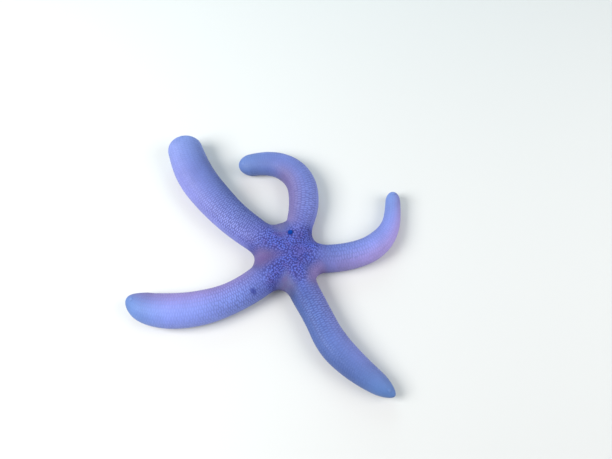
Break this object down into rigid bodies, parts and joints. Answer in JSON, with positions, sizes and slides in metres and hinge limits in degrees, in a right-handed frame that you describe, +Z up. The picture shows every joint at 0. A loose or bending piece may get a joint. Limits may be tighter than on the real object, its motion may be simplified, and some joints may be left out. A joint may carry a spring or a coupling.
{
  "type": "starfish",
  "caption": "Blue sea star lying flat, with five stout round arms bent different ways round a small disc, modelled still and life size as a museum shows it.",
  "frame": {"origin": "on the floor, under the middle of the animal's bounding box", "axes": "+Z up, the upper (aboral) side; +Y away from the viewer along the arm that curls at the far side; +X to the right"},
  "size_m": [0.1898, 0.187, 0.0217],
  "materials": {
    "skin": "satin living skin of an echinoderm over small skeletal plates",
    "sieve_plate": "grooved limy plate, dark blue",
    "tip_plate": "smooth limy plate, pale blue",
    "eyespot": "wet red pigment spot",
    "mouth": "thin wet membrane"
  },
  "bodies": {
    "root": {"disc": "skin", "madreporite": "sieve_plate", "mouth_skin": "mouth", "arm_right_base": "skin", "arm_right_middle": "skin", "arm_right_outer": "skin", "arm_right_tip_plate": "tip_plate", "arm_right_eyespot": "eyespot", "arm_top_base": "skin", "arm_top_middle": "skin", "arm_top_outer": "skin", "arm_top_tip_plate": "tip_plate", "arm_top_eyespot": "eyespot", "arm_upper_left_base": "skin", "arm_upper_left_middle": "skin", "arm_upper_left_outer": "skin", "arm_upper_left_tip_plate": "tip_plate", "arm_upper_left_eyespot": "eyespot", "arm_lower_left_base": "skin", "arm_lower_left_middle": "skin", "arm_lower_left_outer": "skin", "arm_lower_left_tip_plate": "tip_plate", "arm_lower_left_eyespot": "eyespot", "arm_lower_right_base": "skin", "arm_lower_right_middle": "skin", "arm_lower_right_outer": "skin", "arm_lower_right_tip_plate": "tip_plate", "arm_lower_right_eyespot": "eyespot"}
  },
  "joints": []
}
